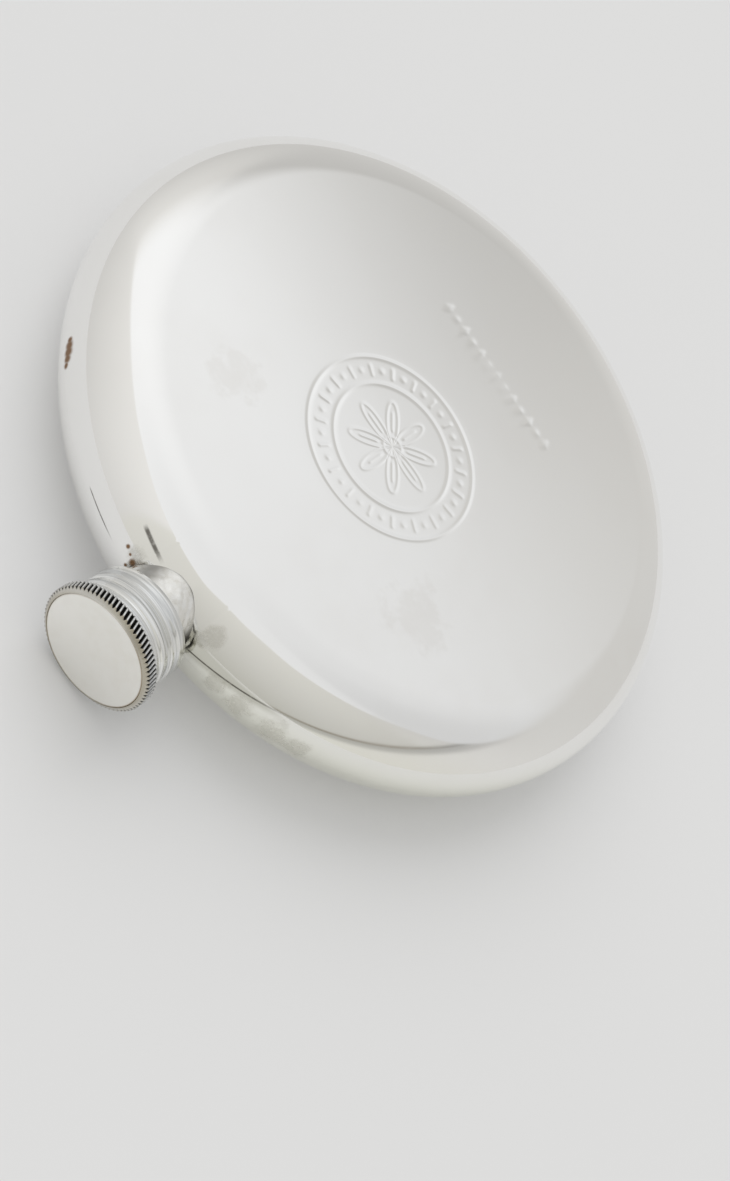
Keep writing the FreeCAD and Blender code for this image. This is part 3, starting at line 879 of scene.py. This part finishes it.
room = {
    # pairs of azimuth and value; azimuth 0 is away from the camera and 90 is to the right
    "ceilingEdge": ((-180, 64), (-120, 64.5), (-95, 61), (-80, 55), (-73, 44), (-66, 31), (-52, 33), (-38, 36),
                    (-20, 39), (0, 42), (17, 42.5), (34, 40.5), (60, 37), (72, 39), (82, 51), (94, 58), (104, 62),
                    (120, 66), (140, 69), (158, 69), (180, 64)),
    "edgeSoftness": ((-180, 0.7), (-82, 1.0), (-68, 9), (-40, 8), (-20, 6), (10, 5), (40, 4), (58, 2), (90, 0.8),
                     (180, 0.7)),
    "ceiling": ((-180, 228), (-128, 235), (-90, 241), (-52, 245), (-22, 239), (8, 223), (34, 216), (50, 210),
                (76, 207), (92, 218), (128, 225), (180, 228)),
    "wallTop": ((-180, 209), (-157, 214), (-150, 226), (-112, 227), (-75, 226), (-52, 222), (-38, 211), (-24, 186),
                (-10, 186), (8, 201), (50, 202), (68, 198), (84, 199), (110, 206), (150, 210), (180, 209)),
    "wallFoot": ((-180, 200), (-142, 208), (-98, 202), (-66, 202), (-40, 195), (-20, 199), (0, 207), (30, 201),
                 (84, 206), (98, 180), (180, 182)),
    "overhead": 226, "overheadFrom": 54.0,
    # the plane of the dark edge low on the right, the azimuths where it fades in and out, its softness
    "rail": (-0.5155, -0.4017, 0.752), "railStart": (45.0, 84.0), "railEnd": (158.0, 176.0), "railSoft": 0.012,
    "railLine": (0.008, 0.03), "railDark": 34.0,
    "underRail": 172.0, "underRailGain": 38.0, "creamDepth": (-0.15, -0.05),
    "warmRight": (70.0, 105.0), "warmLeft": (-157.0, -151.0),
    "wallTint": (1.0, 0.99, 0.965, 1), "ceilingTint": (0.985, 0.992, 1.0, 1), "warmTint": (1.0, 0.99, 0.93, 1),
    "railTint": (1.0, 0.93, 0.80, 1),
    "displayPower": 2.2, "gain": 1.09,
    "backdrop": 0.70, "backdropTint": (1.0, 1.0, 0.99, 1),
}


def curve(tree, angle, pairs, top):
    # a smooth curve through pairs of azimuth and value; the node wants both from 0 to 1
    made = node(tree, "ShaderNodeFloatCurve", {"Value": angle})
    line = made.mapping.curves[0]
    places = [((azimuth + 180) / 360, value / top) for azimuth, value in pairs]
    line.points[0].location = places[0]
    line.points[-1].location = places[-1]
    for place in places[1:-1]:
        line.points.new(*place)
    for point in line.points:
        point.handle_type = "AUTO_CLAMPED"
    made.mapping.update()
    return calc(tree, "MULTIPLY", made.outputs[0], float(top))


def makeWorld():
    # a soft room: a bright ceiling whose lower edge runs round the walls, dimmer walls, and on the right a dark rail
    # with pale floor below it.  Brightness is worked out as it looks, 0 to 255, and turned to light at the end
    world = bpy.data.worlds.new("softRoom")
    world.use_nodes = True
    tree = world.node_tree
    direction = node(tree, "ShaderNodeTexCoord").outputs["Generated"]
    x, y, z = node(tree, "ShaderNodeSeparateXYZ", {0: direction}).outputs
    azimuth = calc(tree, "MULTIPLY", calc(tree, "ARCTAN2", x, y), 180 / math.pi)
    share = calc(tree, "ADD", calc(tree, "DIVIDE", azimuth, 360.0), 0.5)
    elevation = calc(tree, "MULTIPLY", calc(tree, "ARCSINE", z), 180 / math.pi)
    edge = curve(tree, share, room["ceilingEdge"], 90)
    soft = curve(tree, share, room["edgeSoftness"], 20)
    above = ramp(tree, elevation, calc(tree, "SUBTRACT", edge, soft), calc(tree, "ADD", edge, soft), 0.0, 1.0)
    overhead = ramp(tree, elevation, room["overheadFrom"], 90.0, 0.0, 1.0)
    ceiling = curve(tree, share, room["ceiling"], 255)
    ceiling = between(tree, overhead, ceiling, room["overhead"])
    climb = calc(tree, "MINIMUM", calc(tree, "MAXIMUM", calc(tree, "DIVIDE", elevation, edge), 0.0), 1.0)
    wall = between(tree, climb, curve(tree, share, room["wallFoot"], 255), curve(tree, share, room["wallTop"], 255))
    # the rail: below = 1 under its plane; the band beneath it is grey and a thin line along it is darker still
    height = node(tree, "ShaderNodeVectorMath", {0: direction, 1: room["rail"]}, operation="DOT_PRODUCT").outputs[1]
    reach = calc(tree, "MULTIPLY", ramp(tree, azimuth, *room["railStart"], 0.0, 1.0),
                 ramp(tree, azimuth, *room["railEnd"], 1.0, 0.0))
    below = calc(tree, "MULTIPLY", ramp(tree, height, -room["railSoft"], room["railSoft"], 1.0, 0.0), reach)
    cream = ramp(tree, height, *room["creamDepth"], 1.0, 0.0)
    under = calc(tree, "ADD", room["underRail"], calc(tree, "MULTIPLY", cream, room["underRailGain"]))
    wall = between(tree, below, wall, under)
    line = ramp(tree, calc(tree, "ABSOLUTE", height), *room["railLine"], 1.0, 0.0)
    dark = calc(tree, "MULTIPLY", calc(tree, "MULTIPLY", line, reach), room["railDark"])
    wall = calc(tree, "SUBTRACT", wall, dark)
    value = between(tree, above, wall, ceiling)
    power = calc(tree, "POWER", calc(tree, "DIVIDE", value, 255.0), room["displayPower"])
    light = calc(tree, "MULTIPLY", power, room["gain"])
    sides = calc(tree, "ADD", ramp(tree, azimuth, *room["warmRight"], 0.0, 1.0),
                 ramp(tree, azimuth, *room["warmLeft"], 1.0, 0.0))
    warmSide = calc(tree, "MULTIPLY", sides, calc(tree, "SUBTRACT", 1.0, above))
    colour = mix(tree, above, room["wallTint"], room["ceilingTint"])
    colour = mix(tree, warmSide, colour, room["warmTint"])
    colour = mix(tree, calc(tree, "MULTIPLY", line, warmSide), colour, room["railTint"])
    # seen directly the room is a plain pale backdrop; its walls only show in the metal and light the sheet
    seen = node(tree, "ShaderNodeLightPath").outputs["Is Camera Ray"]
    colour = mix(tree, seen, colour, room["backdropTint"])
    light = between(tree, seen, light, room["backdrop"])
    background = tree.nodes["Background"]
    put(tree, background.inputs["Color"], colour)
    put(tree, background.inputs["Strength"], light)
    bpy.context.scene.world = world


makeWorld()

lamp = {"azimuth": -52.0, "elevation": 43.0, "spread": 60.0, "strength": 1.1}


def makeLamp():
    # a broad soft lamp from the far left; the bright ceiling already stands for it in the metal's reflections
    data = bpy.data.lights.new("softLamp", "SUN")
    data.energy = lamp["strength"]
    data.angle = math.radians(lamp["spread"])
    azimuth, elevation = math.radians(lamp["azimuth"]), math.radians(lamp["elevation"])
    towards = Vector((math.sin(azimuth) * math.cos(elevation), math.cos(azimuth) * math.cos(elevation),
                      math.sin(elevation)))
    light = bpy.data.objects.new("softLamp", data)
    light.rotation_euler = towards.to_track_quat("Z", "Y").to_euler()
    light.visible_glossy = False
    bpy.context.scene.collection.objects.link(light)


makeLamp()

view = {"place": (4.8, -191.1, 185.5), "elevation": 47.18, "azimuth": -3.187, "roll": 57.225, "lens": 54.67}


def makeCamera():
    # back = (sin az cos el, -cos az cos el, sin el); level = (cos az, sin az, 0); right is level turned by the roll
    azimuth, elevation, roll = (math.radians(view[key]) for key in ("azimuth", "elevation", "roll"))
    back = Vector((math.sin(azimuth) * math.cos(elevation), -math.cos(azimuth) * math.cos(elevation),
                   math.sin(elevation)))
    level = Vector((math.cos(azimuth), math.sin(azimuth), 0))
    upright = back.cross(level)
    right = math.cos(roll) * level + math.sin(roll) * upright
    up = back.cross(right)
    data = bpy.data.cameras.new("camera")
    data.lens = view["lens"]
    data.clip_start = 0.005
    data.clip_end = 50
    camera = bpy.data.objects.new("camera", data)
    place = (Vector(view["place"]) + Vector((0, 0, axisHeight))) * mm
    camera.matrix_world = Matrix.Translation(place) @ Matrix((right, up, back)).transposed().to_4x4()
    bpy.context.scene.collection.objects.link(camera)
    bpy.context.scene.camera = camera


makeCamera()
bpy.context.scene.view_settings.view_transform = "Standard"
print("stage, light and camera made")
